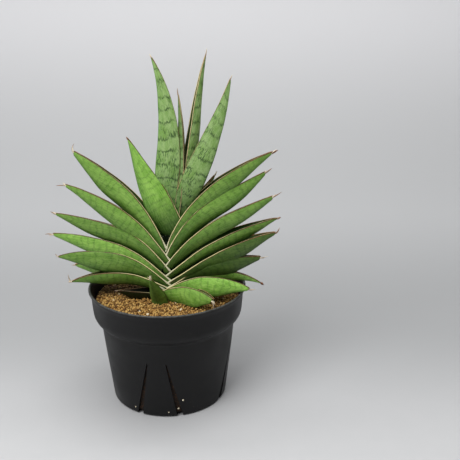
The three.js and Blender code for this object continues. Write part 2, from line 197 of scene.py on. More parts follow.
# Leaf section: the rims along the margins in millimetres and as shares of the half width, the solid share
# of the keel, the fold's sharpness, the thinnest end, and where along the leaf the channel runs out
RIM_THICKNESS = 1.1
RIM_SHARE = 0.45
RIM_CREST = 0.35
RIM_CREST_SHARE = 0.3
KEEL_SHARE = 0.36
FOLD_SHARPNESS = 1.6
TIP_RADIUS = 0.7
CHANNEL_FADES = 0.45
CHANNEL_ENDS = 0.95

# Leaf outline, as shares of its length, the sheath's length in millimetres and how far it narrows
ROLL_REACH = 0.5
HANDLE_SHARE = 0.36
CLASP_END = 0.06
WAIST = 0.4
TIP_SLENDERNESS = 0.8
SHEATH_LENGTH = 12
SHEATH_TAPER = 0.45
CLOSING_SHARE = 0.02

# Unevenness of the skin: its share of the section, its swing sideways and where it sets in
SKIN_WAVE = 0.022
SWAY = 0.25
WAVE_SETS_IN = 0.3

# Strands: the share of the leaf by which they start inside the blade, how deep in its section, how thin
# they end in millimetres, and how far their edges roll up
STRAND_INSIDE = 0.012
STRAND_DEPTH = 0.45
STRAND_POINT = 0.08
STRAND_ROLL = 0.35

# Width of the margin's cream line near the base and near the tip, in millimetres from the rim's crest
CREAM_WIDTH = {False: (0.85, 0.3), True: (0.75, 0.5)}

# Fineness of the leaf meshes
SHEATH_STEPS = 6
BLADE_STEPS = 96
OUTER_STEPS = 34
CHANNEL_STEPS = 20
RIM_STEPS = 3
STRAND_STEPS = 12
STRAND_SIDES = 10

# Pot, in millimetres, with its height and rim radius read from the solid. Edges that turn by more than
# SHARPEST_TURN degrees stay crisp
pot_low, pot_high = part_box("pot")
POT_HEIGHT = (pot_high.z - pot_low.z) / MM
RIM_RADIUS = (pot_high.x - pot_low.x) / 2 / MM
LIP_UNDER_RADIUS = RIM_RADIUS - 2
BAND_RADIUS = RIM_RADIUS - 3
BODY_TOP_RADIUS = RIM_RADIUS - 9
BASE_RADIUS = RIM_RADIUS - 15.5
BAND_BOTTOM = POT_HEIGHT - 21
STEP_BOTTOM = POT_HEIGHT - 31
LIP_HEIGHT = 6
LIP_ROUND = 0.9
BASE_ROUND = 2.5
BASE_RECESS = 0.6
BASE_RING = 9
WALL = 1.6
FLOOR = 2
POT_SEGMENTS = 160
SHARPEST_TURN = 32

# Heights between which the lip carries a painted highlight, broken into patches, in metres
RIM_HIGHLIGHT = ((POT_HEIGHT - 1.5) * MM, (POT_HEIGHT - 0.2) * MM)

# Slits, in pairs that lean towards each other, with angles in degrees round the pot from its front
SLIT_PAIRS = 4
SLIT_FIRST_PAIR = -6
SLIT_TOP_ANGLE = 8
SLIT_FOOT_ANGLE = 20.5
SLIT_TOP = 47
SLIT_FOOT = -1
SLIT_REACH = 24
SLIT_FOOT_WIDTH = 4.6
SLIT_TOP_WIDTH = 0.8

# Soil: the bed's height at the wall, its dome and swell, and the granules that cover it, in millimetres
SOIL_EDGE = 80
SOIL_DOME = 1.2
SOIL_SWELL = 0.5
SOIL_SWELL_TURNS = 0.11
BED_BELOW_GRANULES = 0.7
BED_ROUGHNESS = 0.22
GRANULE_PITCH = 1.75
HEXAGON_ROW = 0.866
GRANULE_SHIFT = 0.6
GRANULE_LIFT = (-0.35, 0.75)
GRANULE_SIZE = (0.6, 1.15)
GRANULE_STRETCH = (0.75, 1.15)
GRANULE_KINDS = 14
GRANULE_LUMPS = 5

# Where the soil under the fan is painted in shadow: from front to back, in metres
SHADE_STARTS = (-0.01, 0.01)
SHADE_ENDS = (0.016, 0.04)

# Pale grains stuck low on the front of the pot: across and up in millimetres, and size
STUCK_GRAINS = [(12.8, 14.6, 0.8), (9.6, 7.4, 0.7), (2.4, 4.4, 0.75), (-23, 5.8, 0.6)]

random = np.random.default_rng(11)


# Small helpers


def smooth(value):
    value = np.clip(value, 0, 1)
    return value * value * (3 - 2 * value)


def mix(first, second, share):
    return first + (second - first) * share


def colour(name):
    """A colour of the palette, as the linear values that a shader takes."""
    shown = np.array(PALETTE[name]) / 255
    linear = np.where(shown <= 0.04045, shown / 12.92, ((shown + 0.055) / 1.055) ** 2.4)
    return (*(float(v) for v in linear), 1.0)


def make_object(name, vertices, faces, material=None):
    mesh = bpy.data.meshes.new(name)
    mesh.from_pydata(vertices, [], faces)
    mesh.polygons.foreach_set("use_smooth", [True] * len(mesh.polygons))
    piece = bpy.data.objects.new(name, mesh)
    bpy.context.scene.collection.objects.link(piece)
    if material:
        mesh.materials.append(material)
    return piece


def face_outwards(piece):
    working = bmesh.new()
    working.from_mesh(piece.data)
    bmesh.ops.recalc_face_normals(working, faces=working.faces)
    working.to_mesh(piece.data)
    working.free()


def store(piece, name, values):
    """Keeps one number, or one vector, for each vertex, for the material to read."""
    values = np.asarray(values, dtype=np.float32)
    if values.ndim == 1:
        piece.data.attributes.new(name, "FLOAT", "POINT").data.foreach_set("value", values)
    else:
        piece.data.attributes.new(name, "FLOAT_VECTOR", "POINT").data.foreach_set("vector", values.ravel())


def grid_faces(rows, columns):
    """Quads between the rows of a grid whose columns close on themselves."""
    faces = []
    for row in range(rows - 1):
        for column in range(columns):
            following = (column + 1) % columns
            faces.append((row * columns + column, row * columns + following,
                          (row + 1) * columns + following, (row + 1) * columns + column))
    return faces


class Shader:
    """One material, with short names for the nodes that it is made of."""

    def __init__(self, name):
        self.material = bpy.data.materials.new(name)
        self.material.use_nodes = True
        self.tree = self.material.node_tree
        self.surface = self.tree.nodes["Principled BSDF"]

    def plug(self, value, socket):
        if isinstance(value, bpy.types.NodeSocket):
            self.tree.links.new(value, socket)
        else:
            socket.default_value = value

    def set(self, name, value):
        self.plug(value, self.surface.inputs[name])

    def attribute(self, name, output="Fac"):
        node = self.tree.nodes.new("ShaderNodeAttribute")
        node.attribute_name = name
        return node.outputs[output]

    def position(self):
        return self.tree.nodes.new("ShaderNodeTexCoord").outputs["Object"]

    def math(self, operation, first, second=0.0):
        node = self.tree.nodes.new("ShaderNodeMath")
        node.operation = operation
        self.plug(first, node.inputs[0])
        self.plug(second, node.inputs[1])
        return node.outputs[0]

    def part(self, vector, axis):
        node = self.tree.nodes.new("ShaderNodeSeparateXYZ")
        self.plug(vector, node.inputs[0])
        return node.outputs[axis]

    def scale(self, vector, factors):
        node = self.tree.nodes.new("ShaderNodeVectorMath")
        node.operation = "MULTIPLY"
        self.plug(vector, node.inputs[0])
        self.plug(factors, node.inputs[1])
        return node.outputs[0]

    def noise(self, vector, scale=1.0, detail=2.0, roughness=0.5):
        node = self.tree.nodes.new("ShaderNodeTexNoise")
        self.plug(vector, node.inputs["Vector"])
        node.inputs["Scale"].default_value = scale
        node.inputs["Detail"].default_value = detail
        node.inputs["Roughness"].default_value = roughness
        return node.outputs["Fac"]

    def ramp(self, value, start, end, low=0.0, high=1.0):
        """Goes smoothly from low to high while the value goes from start to end."""
        node = self.tree.nodes.new("ShaderNodeMapRange")
        node.interpolation_type = "SMOOTHSTEP"
        given = {"Value": value, "From Min": start, "From Max": end, "To Min": low, "To Max": high}
        for name, setting in given.items():
            self.plug(setting, node.inputs[name])
        return node.outputs["Result"]

    def mix(self, share, first, second, blend="MIX"):
        node = self.tree.nodes.new("ShaderNodeMix")
        node.data_type = "RGBA"
        node.blend_type = blend
        self.plug(share, node.inputs["Factor"])
        self.plug(first, node.inputs[6])
        self.plug(second, node.inputs[7])
        return node.outputs[2]

    def bump(self, height, depth, strength=1.0):
        node = self.tree.nodes.new("ShaderNodeBump")
        node.inputs["Strength"].default_value = strength
        node.inputs["Distance"].default_value = depth
        self.plug(height, node.inputs["Height"])
        self.plug(node.outputs["Normal"], self.surface.inputs["Normal"])


# Leaf material: green with cross-bands and a fine lengthwise grain, and a cream margin between brown lines


def jagged_bands(shader, skin, spacing, width, jag):
    """How strongly a thin dark line crosses the leaf here; the lines are jagged and unevenly spaced."""
    along = shader.part(skin, "X")
    drift = shader.noise(shader.scale(skin, (0.06, 0.02, 1)), detail=1)
    wave = shader.noise(shader.scale(skin, (0.03, 0.2, 2.1)), detail=1)
    teeth = shader.noise(shader.scale(skin, (0.12, 1.1, 3.7)), detail=3, roughness=0.7)
    for wobble, reach in ((drift, spacing * 1.2), (wave, 7.0), (teeth, jag)):
        along = shader.math("ADD", along, shader.math("MULTIPLY", wobble, reach))
    line = shader.math("PINGPONG", along, spacing / 2)
    patchy = shader.noise(shader.scale(skin, (0.16, 0.25, 5.3)), detail=2)
    return shader.math("MULTIPLY", shader.ramp(line, width * 0.3, width, 1.0, 0.0),
                       shader.ramp(patchy, 0.34, 0.54, 0.15, 1.0))


def lengthwise_strokes(shader, skin, length, crowding):
    """Short dark strokes that run along the leaf, gathered in patches."""
    streaks = shader.noise(shader.scale(skin, (1 / length, 2.4, 1.7)), detail=1)
    gathered = shader.noise(shader.scale(skin, (0.13, 0.1, 2.9)), detail=2)
    return shader.math("MULTIPLY", shader.ramp(streaks, 0.6 - crowding, 0.7 - crowding),
                       shader.ramp(gathered, 0.44, 0.6, 0.15, 1.0))


def leaf_green(shader, skin, place, flank, young):
    """The green of the skin between the margins."""
    if young:
        spacing, width, jag = 9.5, 1.15, 8.0
        band_share, stroke_share, stroke_length = 0.85, 0.85, 3.2
    else:
        spacing, width, jag = 5.0, 1.1, 3.0
        band_share, stroke_share, stroke_length = 0.34, 0.42, 2.6
    age = "young" if young else "grown"
    light, full, deep, band = (colour(f"{age}_{shade}") for shade in ("light", "full", "deep", "band"))

    cloud = shader.noise(shader.scale(skin, (0.1, 0.28, 1)), detail=4, roughness=0.7)
    green = shader.mix(shader.ramp(cloud, 0.3, 0.7), full, light)
    # Deeper green towards the keel: partly the leaf's own colour, partly painted shade on the flank that
    # turns away from the light
    to_keel = shader.ramp(shader.math("ABSOLUTE", flank), 0.15, 0.9, 1.0, 0.0)
    green = shader.mix(shader.math("MULTIPLY", to_keel, 0.3 if young else 0.7), green, deep)
    if young:
        # Young leaves: painted shade over the far half of the outer skin, and towards the base painted shade
        # between the leaf bases
        green = shader.mix(shader.ramp(flank, 0.1, 0.18, 0.85, 0.0), green, deep)
        green = shader.mix(shader.ramp(place, 0.1, 0.5, 0.6, 0.0), green, deep)
    else:
        # Deeper green towards the base: partly the leaf's own colour, partly painted shade among the leaf
        # bases
        green = shader.mix(shader.ramp(place, 0.02, 0.4, 0.75, 0.0), green, deep)

    banding = jagged_bands(shader, skin, spacing, width, jag)
    green = shader.mix(shader.math("MULTIPLY", banding, band_share), green, band)
    strokes = lengthwise_strokes(shader, skin, stroke_length, 0.08 if young else 0.0)
    green = shader.mix(shader.math("MULTIPLY", strokes, stroke_share), green, band)
    specks = shader.noise(shader.scale(skin, (1.3, 1.9, 3.1)), detail=2)
    green = shader.mix(shader.ramp(specks, 0.54, 0.7, 0.0, 0.4), green, deep)
    return shader.mix(shader.ramp(specks, 0.28, 0.42, 0.35, 0.0), green, light), cloud


def leaf_material(name, young):
    shader = Shader(name)
    skin = shader.attribute("skin", "Vector")
    place = shader.attribute("place")
    edge = shader.attribute("edge")
    green, cloud = leaf_green(shader, skin, place, shader.attribute("flank"), young)
    grain = shader.noise(shader.scale(skin, (0.16, 2.6, 2.3)), detail=2)
    green = shader.mix(shader.ramp(grain, 0.35, 0.65, 0.0, 0.2), green, colour("grain"))

    # The channel is painted darker than the outside, as shade inside the fold, and is duller; the base,
    # hidden among the other leaf bases, is painted darker still, as shade
    inside = shader.attribute("inside")
    green = shader.mix(shader.math("MULTIPLY", inside, 0.85), green, colour("channel"))
    dull = shader.math("MULTIPLY", inside, 0.4)
    # Each leaf's tint, with its painted light and shade and the painted shade at its base
    tint_and_painted_light = shader.attribute("tint_and_painted_light")
    green = shader.scale(green, tint_and_painted_light)
    # The sheath colour is painted shade over the base
    sheath = shader.ramp(place, 0.02, 0.08, 1.0, 0.0) if young else shader.ramp(place, -0.12, 0.0, 1.0, 0.0)
    green = shader.mix(sheath, green, colour("sheath"))

    # The tip browns over its last few millimetres
    green = shader.mix(shader.ramp(place, 0.955, 1.0, 0.0, 0.85), green, colour("browned_end"))

    # Margin: measured in millimetres from the rim's crest, with a slightly uneven width.
    # It widens where the leaf bases clasp each other, and outwards the brown takes over from the cream.
    uneven = shader.noise(shader.scale(skin, (0.25, 0.0, 5)), detail=2)
    line = shader.math("ADD", edge, shader.math("MULTIPLY", shader.math("SUBTRACT", uneven, 0.5), 0.5))
    clasp = shader.ramp(place, 0.0, 0.09, 0.75, 0.0)
    cream_width = shader.math("ADD", shader.ramp(place, 0.05, 0.8, *CREAM_WIDTH[young]), clasp)
    brown_width = shader.math("ADD", cream_width, 0.3 if young else shader.ramp(place, 0.02, 0.5, 0.4, 0.6))
    past_cream = shader.math("SUBTRACT", line, cream_width)
    past_brown = shader.math("SUBTRACT", line, brown_width)
    worn = shader.noise(shader.scale(skin, (0.4, 0.4, 6.1)), detail=2)
    brown = shader.mix(shader.ramp(worn, 0.35, 0.65), colour("margin_dark"), colour("margin_brown"))
    browning = shader.ramp(place, 0.85, 1.0) if young else shader.ramp(place, 0.42, 0.8)
    aged = shader.math("MULTIPLY", browning, shader.ramp(worn, 0.38, 0.6, 0.3, 1.0))
    cream = shader.mix(shader.ramp(place, 0.0, 0.14), colour("cream_base"), colour("cream"))
    cream = shader.mix(aged, cream, colour("aged_cream"))
    leafy = shader.mix(shader.ramp(past_brown, -0.12, 0.12, 0.95, 0.0), green, brown)
    leafy = shader.mix(shader.ramp(past_cream, -0.1, 0.1, 1.0, 0.0), leafy, cream)
    # The base keeps its painted shade over the margins too
    leafy = shader.mix(sheath, leafy, green)
    # Leaves painted dark for shade have their margins darkened with them, as painted shade
    leafy = shader.scale(leafy, shader.ramp(tint_and_painted_light, 0.1, 0.4, 0.45, 1.0))

    dried = shader.mix(shader.ramp(worn, 0.35, 0.65), colour("dried_dark"), colour("dried"))
    dried = shader.mix(shader.attribute("papery"), dried, colour("papery"))
    shader.set("Base Color", shader.mix(shader.attribute("dry"), leafy, dried))
    shader.set("Roughness", shader.math("ADD", shader.ramp(cloud, 0.3, 0.7, 0.42, 0.54), dull))
    shader.set("Specular IOR Level", 0.32)
    relief = shader.math("ADD", shader.math("MULTIPLY", grain, 0.6), shader.math("MULTIPLY", cloud, 0.8))
    shader.bump(relief, 0.0002, 0.6)
    return shader.material


# Leaf geometry


def middle_line(leaf, place):
    """Points [outwards, up] of the channel's middle line in the leaf's own plane, and its rise in radians."""
    launch, finish, turn = (math.radians(leaf[key]) for key in ("launch", "finish", "turn"))
    start = np.array([leaf["start"][0] * leaf["side"] / math.cos(turn), leaf["start"][1]])
    tip = np.array([leaf["tip"][0] * leaf["side"] / math.cos(turn), leaf["tip"][1]])
    handle = np.linalg.norm(tip - start) * HANDLE_SHARE
    first = start + handle * np.array([math.cos(launch), math.sin(launch)])
    last = tip - handle * np.array([math.cos(finish), math.sin(finish)])
    t = np.clip(place, 0, 1)[:, None]
    point = (1 - t) ** 3 * start + 3 * (1 - t) ** 2 * t * first + 3 * (1 - t) * t ** 2 * last + t ** 3 * tip
    slope = (1 - t) ** 2 * (first - start) + 2 * (1 - t) * t * (last - first) + t ** 2 * (tip - last)
    rise = np.arctan2(slope[:, 1], slope[:, 0])
    below = place < 0
    sheath_rise = mix(launch, math.pi / 2, smooth(-place))
    mean = (launch + sheath_rise) / 2
    sheath_length = leaf.get("sheath", SHEATH_LENGTH)
    sheath = start + np.stack([np.cos(mean), np.sin(mean)], 1) * (place * sheath_length)[:, None]
    point[below] = sheath[below]
    rise[below] = sheath_rise[below]
    return point, rise


def section_size(leaf, place):
    """Half width and depth of the leaf's outer skin at each place."""
    middle_half, base_half = leaf["width"]
    middle_depth, base_depth = leaf["depth"]
    left = np.maximum(1 - place, 0)
    swelling = mix(base_depth, middle_depth, smooth(place / (1 - leaf["taper"])))
    tapering = middle_depth * np.sin(math.pi / 2 * np.minimum(left / leaf["taper"], 1))
    depth = np.where(left < leaf["taper"], tapering, swelling)
    narrowing = smooth((place - CLASP_END) / (WAIST - CLASP_END))
    half = np.where(place < WAIST, mix(base_half, middle_half, narrowing),
                    middle_half * (left / (1 - WAIST)) ** TIP_SLENDERNESS)
    sheath = 1 + np.minimum(place, 0) * SHEATH_TAPER
    return np.maximum(half * sheath, TIP_RADIUS), np.maximum(depth * sheath, TIP_RADIUS)


def directions(leaf, place, rise):
    """Unit directions at each place: along the leaf, towards its front margin and into its channel."""
    turn = math.radians(leaf["turn"])
    roll = (math.radians(leaf["roll"]) * smooth(place / ROLL_REACH))[:, None]
    outwards = np.array([leaf["side"] * math.cos(turn), -math.sin(turn), 0])
    front = np.array([-leaf["side"] * math.sin(turn), -math.cos(turn), 0])
    up = np.array([0, 0, 1])
    cosine, sine = np.cos(rise)[:, None], np.sin(rise)[:, None]
    along = outwards * cosine + up * sine
    inwards = up * cosine - outwards * sine
    margin = front * np.cos(roll) + inwards * np.sin(roll)
    channel = inwards * np.cos(roll) - front * np.sin(roll)
    return outwards, along, margin, channel


def fold(angle, half, depth):
    """Points [across, into the channel] of one skin: a rounded fold from one margin to the other."""
    power = 2 / FOLD_SHARPNESS
    across = half[:, None] * np.sign(np.sin(angle)) * np.abs(np.sin(angle)) ** power
    down = depth[:, None] * np.maximum(np.cos(angle), 0) ** power
    return np.stack([across, -down], 2)


def rim(angle, half, thickness, side):
    """Points of one rounded rim, from its outer end at angle 0 to its inner end at 180 degrees."""
    middle = (half - thickness / 2)[:, None]
    across = side * (middle + thickness[:, None] / 2 * np.cos(angle))
    crest = np.minimum(RIM_CREST, half * RIM_CREST_SHARE)[:, None] * np.sin(angle)
    return np.stack([across, crest * np.ones_like(across)], 2)


def ripple(seed, x, y):
    """A gentle unevenness between about -1 and 1."""
    draw = np.random.default_rng(seed)
    total = 0
    for turns in (1.3, 2.7, 5.1):
        phase_x, phase_y, cross = draw.uniform(0, 6.28, 3)
        swing = turns * x + phase_x + 0.6 * np.sin(y * turns + cross)
        total = total + np.sin(swing) * np.cos(turns * y + phase_y) / turns
    return total


def leaf_body(leaf, seed, green_end):
    """The green blade and the sheath below it, as vertices, faces and the numbers kept for each vertex."""
    place = np.concatenate([
        np.linspace(-1, 0, SHEATH_STEPS, endpoint=False),
        green_end * np.sin(np.linspace(0, math.pi / 2, BLADE_STEPS)) ** 1.1,
    ])
    point, rise = middle_line(leaf, place)
    half, depth = section_size(leaf, place)
    outwards, _, margin, channel = directions(leaf, place, rise)
    ending = smooth((place - green_end + CLOSING_SHARE) / CLOSING_SHARE)
    closing = np.sqrt(np.maximum(1 - ending ** 2, CLOSING_SHARE))
    half, depth = half * closing, depth * closing

    thickness = np.minimum(RIM_THICKNESS, half * RIM_SHARE)
    fading = smooth((place - CHANNEL_FADES) / (CHANNEL_ENDS - CHANNEL_FADES))
    channel_depth = depth * (1 - mix(KEEL_SHARE, 1, fading))
    round_out = np.linspace(-math.pi / 2, math.pi / 2, OUTER_STEPS + 1)
    round_in = np.linspace(math.pi / 2, -math.pi / 2, CHANNEL_STEPS + 1)
    quarter = np.linspace(math.pi / 2, 0, RIM_STEPS + 1)[:-1]

    length = np.concatenate([[0], np.cumsum(np.linalg.norm(np.diff(point, axis=0), axis=1))])
    outer = fold(round_out, half, depth)
    away = smooth(place / WAVE_SETS_IN)
    waves = ripple(seed, length[:, None] * 0.05, round_out[None, :] * 1.5) * away[:, None]
    outer = outer * (1 + SKIN_WAVE * waves * np.cos(round_out) ** 0.5)[:, :, None]
    inner = fold(round_in, half - thickness, channel_depth)
    loop = np.concatenate([
        rim(quarter, half, thickness, -1),
        outer,
        rim(quarter[::-1], half, thickness, 1),
        rim(math.pi - quarter, half, thickness, 1)[:, 1:],
        inner,
        rim(math.pi - quarter[::-1], half, thickness, -1)[:, :-1],
    ], 1)
    columns = loop.shape[1]
    wobble = ripple(seed + 50, length * 0.06, length * 0.02) * away
    spot = outwards * point[:, :1] + np.array([0, 0, 1]) * point[:, 1:] + channel * (SWAY * wobble)[:, None]
    vertices = spot[:, None] + margin[:, None] * loop[:, :, :1] + channel[:, None] * loop[:, :, 1:]

    steps = np.linalg.norm(np.diff(loop, axis=1, append=loop[:, :1]), axis=2)
    travelled = np.concatenate([np.zeros((len(place), 1)), np.cumsum(steps, 1)], 1)
    whole = travelled[:, -1:]
    travelled = travelled[:, :-1]
    front_crest = travelled[:, 2 * RIM_STEPS - 1 + OUTER_STEPS + 1:][:, :1]
    edge = np.minimum(np.minimum(travelled, np.abs(travelled - front_crest)), whole - travelled)
    is_inner = np.arange(columns) > 2 * RIM_STEPS + OUTER_STEPS
    share = travelled / whole
    girth = np.where(is_inner[None, :], 90 - share * 40, share * 40)
    flank = np.ones(columns)
    flank[RIM_STEPS:RIM_STEPS + OUTER_STEPS + 1] = np.sin(round_out)

    # Painted shade at the base, times the leaf's own tint with its painted light and shade
    tint_and_painted_light = mix(BASE_LIGHT.get(leaf["name"], 1), 1, smooth(place / BASE_LIGHT_REACH))
    tint_and_painted_light = tint_and_painted_light * TINT_AND_PAINTED_LIGHT.get(leaf["name"], 1)
    keep = {
        "skin": np.stack([np.broadcast_to(length[:, None], girth.shape), girth,
                          np.full(girth.shape, seed * 7.3)], 2).reshape(-1, 3),
        "place": np.broadcast_to(place[:, None], girth.shape).ravel(),
        "edge": edge.ravel(),
        "inside": np.broadcast_to(is_inner.astype(float)[None, :], girth.shape).ravel(),
        "flank": np.broadcast_to(flank[None, :], girth.shape).ravel(),
        "tint_and_painted_light": np.broadcast_to(tint_and_painted_light[:, None], girth.shape).ravel(),
        "dry": np.zeros(girth.size),
        "papery": np.zeros(girth.size),
    }
    rows = len(place)
    faces = grid_faces(rows, columns)
    faces.append(tuple(range(columns)))
    faces.append(tuple(range((rows - 1) * columns, rows * columns)))
    return vertices.reshape(-1, 3), faces, keep


def leaf_strand(leaf, strand, seed, green_end):
    """One dried strand: a flattened tapering tube that starts inside the end of the blade."""
    length, lift, curl, width, flat, cream = strand
    place = np.array([green_end - STRAND_INSIDE])
    point, rise = middle_line(leaf, place)
    _, depth = section_size(leaf, place)
    outwards, along, margin, channel = directions(leaf, place, rise)
    along, margin, channel = along[0], margin[0], channel[0]
    start = outwards * point[0, 0] + np.array([0, 0, point[0, 1]]) - channel * depth[0] * STRAND_DEPTH
    steps = np.linspace(0, 1, STRAND_STEPS)
    bend = np.radians(lift * smooth(steps * 4) + curl * steps)
    heading = along[None] * np.cos(bend)[:, None] + channel[None] * np.sin(bend)[:, None]
    lifting = channel[None] * np.cos(bend)[:, None] - along[None] * np.sin(bend)[:, None]
    stride = (length + 1) / (STRAND_STEPS - 1)
    centre = start + np.cumsum(heading, 0) * stride
    wide = width / 2 * (1 - steps ** 2.2) + STRAND_POINT
    thick = wide * flat
    around = np.linspace(0, 2 * math.pi, STRAND_SIDES, endpoint=False)
    curl_in = (wide * STRAND_ROLL)[:, None] * np.cos(around) ** 2
    vertices = (centre[:, None]
                + margin * (wide[:, None] * np.cos(around))[:, :, None]
                + lifting[:, None] * (thick[:, None] * np.sin(around) + curl_in)[:, :, None])
    count = STRAND_STEPS * STRAND_SIDES
    papery = np.repeat(mix(*cream, steps), STRAND_SIDES)
    keep = {
        "skin": np.stack([np.repeat(steps * 5, STRAND_SIDES), np.tile(around, STRAND_STEPS),
                          np.full(count, seed * 3.1)], 1),
        "place": np.ones(count),
        "edge": np.full(count, 9.0),
        "inside": np.zeros(count),
        "flank": np.ones(count),
        "tint_and_painted_light": np.ones(count),
        "dry": np.ones(count),
        "papery": papery,
    }
    faces = grid_faces(STRAND_STEPS, STRAND_SIDES)
    faces.append(tuple(range(STRAND_SIDES)))
    faces.append(tuple(range(count - STRAND_SIDES, count)))
    return vertices.reshape(-1, 3), faces, keep


def add_leaf(leaf, index, materials):
    tips = TIPS[leaf["name"]]
    start, tip = np.array(leaf["start"]), np.array(leaf["tip"])
    reach = max(length * math.cos(math.radians(rise)) for length, rise, *_ in tips)
    green_end = 1 - 0.8 * reach / np.linalg.norm(tip - start)
    shells = [leaf_body(leaf, index + 1, green_end)]
    shells += [leaf_strand(leaf, strand, index + 1, green_end) for strand in tips]
    vertices, faces, kept = [], [], {key: [] for key in shells[0][2]}
    count = 0
    for shell_vertices, shell_faces, shell_keep in shells:
        faces += [tuple(corner + count for corner in face) for face in shell_faces]
        vertices.append(shell_vertices)
        count += len(shell_vertices)
        for key, values in shell_keep.items():
            kept[key].append(values)
    young = "upright" in leaf["name"]
    name = leaf["name"].replace("leaf", "blade")
    piece = make_object(name, (np.concatenate(vertices) * MM).tolist(), faces, materials[young])
    face_outwards(piece)
    for key, values in kept.items():
        store(piece, key, np.concatenate(values))
    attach(piece, "root")
    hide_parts(leaf["name"])


# Pot


def arc(centre, radius, start, end, steps):
    """Points of a round corner in a profile, with its angles in degrees."""
    angles = np.radians(np.linspace(start, end, steps))
    return [(centre[0] + radius * math.cos(a), centre[1] + radius * math.sin(a)) for a in angles]


def curve(start, bend, end, steps=7):
    """Points of a soft corner in a profile, from start to end past the point of the bend."""
    start, bend, end = np.array(start), np.array(bend), np.array(end)
    return [tuple(mix(mix(start, bend, t), mix(bend, end, t), t)) for t in np.linspace(0, 1, steps)]


def lathe(profile, segments):
    """Vertices and faces of a closed body turned about Z from a profile that starts and ends on the axis."""
    ring = np.array(profile[1:-1])
    angle = np.linspace(0, 2 * math.pi, segments, endpoint=False)
    vertices = np.stack([ring[:, :1] * np.cos(angle), ring[:, :1] * np.sin(angle),
                         np.broadcast_to(ring[:, 1:], (len(ring), segments))], 2).reshape(-1, 3)
    faces = grid_faces(len(ring), segments)
    bottom, top = len(vertices), len(vertices) + 1
    vertices = np.concatenate([vertices, [[0, 0, profile[0][1]], [0, 0, profile[-1][1]]]])
    last = (len(ring) - 1) * segments
    for column in range(segments):
        following = (column + 1) % segments
        faces.append((bottom, following, column))
        faces.append((top, last + column, last + following))
    return vertices, faces


def pot_profile():
    """Points [radius, height] of the pot: up its outside, over its lip and down its inside."""
    lip = POT_HEIGHT - LIP_HEIGHT
    return [
        (0, BASE_RECESS),
        (BASE_RADIUS - BASE_RING, BASE_RECESS),
        (BASE_RADIUS - BASE_RING + BASE_RECESS, 0),
        *arc((BASE_RADIUS - BASE_ROUND, BASE_ROUND), BASE_ROUND, -90, -4, 7),
        (mix(BASE_RADIUS, BODY_TOP_RADIUS, 0.35), 22),
        (mix(BASE_RADIUS, BODY_TOP_RADIUS, 0.7), 41),
        *curve((BODY_TOP_RADIUS + 0.2, STEP_BOTTOM + 2.4), (BODY_TOP_RADIUS + 0.5, STEP_BOTTOM + 4.8),
               (BODY_TOP_RADIUS + 3.2, STEP_BOTTOM + 6.6)),
        *curve((BAND_RADIUS - 1.7, BAND_BOTTOM - 2.2), (BAND_RADIUS - 0.1, BAND_BOTTOM + 0.3),
               (BAND_RADIUS + 0.1, BAND_BOTTOM + 3.4)),
        (mix(BAND_RADIUS, LIP_UNDER_RADIUS, 0.6), mix(BAND_BOTTOM, lip, 0.6)),
        (LIP_UNDER_RADIUS, lip),
        (LIP_UNDER_RADIUS + 0.5, lip + 2.4),
        *arc((RIM_RADIUS - LIP_ROUND, POT_HEIGHT - LIP_ROUND), LIP_ROUND, -10, 170, 9),
        (LIP_UNDER_RADIUS - WALL + 0.6, POT_HEIGHT - 3.5),
        (LIP_UNDER_RADIUS - WALL, lip - 1),
        (BAND_RADIUS - WALL, BAND_BOTTOM + 1),
        (BODY_TOP_RADIUS - WALL, STEP_BOTTOM),
        (BASE_RADIUS - WALL - 1, FLOOR),
        (0, FLOOR),
    ]


def slit_cutter(angle, side):
    """A leaning wedge that widens to its foot and goes through the wall and the base's corner."""
    lean = BASE_RADIUS * math.sin(math.radians(SLIT_FOOT_ANGLE - SLIT_TOP_ANGLE)) * side
    outline = [
        (lean - SLIT_FOOT_WIDTH / 2, SLIT_FOOT),
        (lean + SLIT_FOOT_WIDTH / 2, SLIT_FOOT),
        (SLIT_TOP_WIDTH / 2, SLIT_TOP),
        (-SLIT_TOP_WIDTH / 2, SLIT_TOP),
    ]
    turned = math.radians(angle)
    vertices = []
    for reach in (-RIM_RADIUS, SLIT_REACH - RIM_RADIUS):
        for x, z in outline:
            vertices.append((x * math.cos(turned) - reach * math.sin(turned),
                             x * math.sin(turned) + reach * math.cos(turned), z))
    faces = [(0, 1, 2, 3), (7, 6, 5, 4)]
    for corner in range(4):
        following = (corner + 1) % 4
        faces.append((corner, corner + 4, following + 4, following))
    return vertices, faces


def pot_material():
    shader = Shader("pot_plastic")
    position = shader.position()
    fine = shader.noise(position, scale=2600, detail=2)
    broad = shader.noise(position, scale=38, detail=3)
    dust = shader.noise(position, scale=420, detail=4, roughness=0.7)
    black = shader.mix(shader.ramp(broad, 0.35, 0.7), colour("pot_dark"), colour("pot_black"))
    height = shader.part(position, "Z")
    low = shader.ramp(height, 0.0, 0.03, 0.4, 0.14)
    dusty = shader.mix(shader.math("MULTIPLY", shader.ramp(dust, 0.6, 0.8), low), black, colour("dust"))
    worn = shader.ramp(dust, 0.4, 0.6, 0.4, 1.0)
    # Painted highlight along the lip, in patches
    painted_rim_highlight = shader.math("MULTIPLY", shader.ramp(height, *RIM_HIGHLIGHT), worn)
    shader.set("Base Color", shader.mix(painted_rim_highlight, dusty, colour("painted_rim_highlight")))
    shader.set("Roughness", shader.ramp(broad, 0.3, 0.7, 0.42, 0.56))
    shader.set("Specular IOR Level", 0.28)
    shader.bump(fine, 0.00006, 0.5)
    return shader.material


def soften(piece, sharpest):
    """Smooth shading, with the edges that turn more than the given degrees kept crisp."""
    working = bmesh.new()
    working.from_mesh(piece.data)
    for edge in working.edges:
        if len(edge.link_faces) == 2 and edge.calc_face_angle(0) > math.radians(sharpest):
            edge.smooth = False
    working.to_mesh(piece.data)
    working.free()


